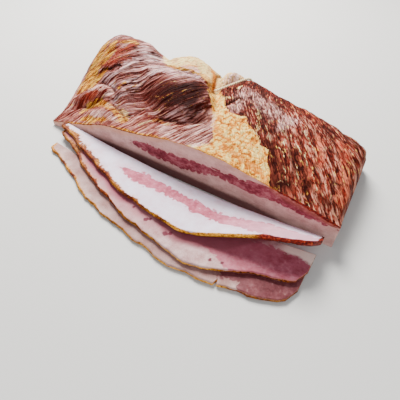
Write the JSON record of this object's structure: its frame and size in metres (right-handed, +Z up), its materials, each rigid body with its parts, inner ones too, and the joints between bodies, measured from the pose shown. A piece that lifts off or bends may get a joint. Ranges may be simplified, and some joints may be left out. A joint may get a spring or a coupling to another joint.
{
  "type": "smoked streaky bacon",
  "caption": "Thick slab of smoked streaky bacon lying on its skin side, with slices fanned forward from its cut face and a length of twine over the pinched back edge.",
  "frame": {"origin": "centre of the footprint box of slab and slices together, on the surface they lie on", "axes": "+X along the cut face towards the slab's blunt end, +Y from the slices towards the slab's back edge, +Z up"},
  "size_m": [0.332, 0.215, 0.0589],
  "materials": {
    "smoked_crust": "smoked crust of dark lean, golden fat and mauve sheen, slightly greasy",
    "sliced_fat": "moist white fat with pink lean streaks and a brown smoked edge",
    "twine_fibre": "pale undyed twisted twine"
  },
  "bodies": {
    "root": {"slab": "smoked_crust", "slice_bottom": "sliced_fat", "slice_middle": "sliced_fat", "slice_top": "sliced_fat", "twine": "twine_fibre"}
  },
  "joints": []
}
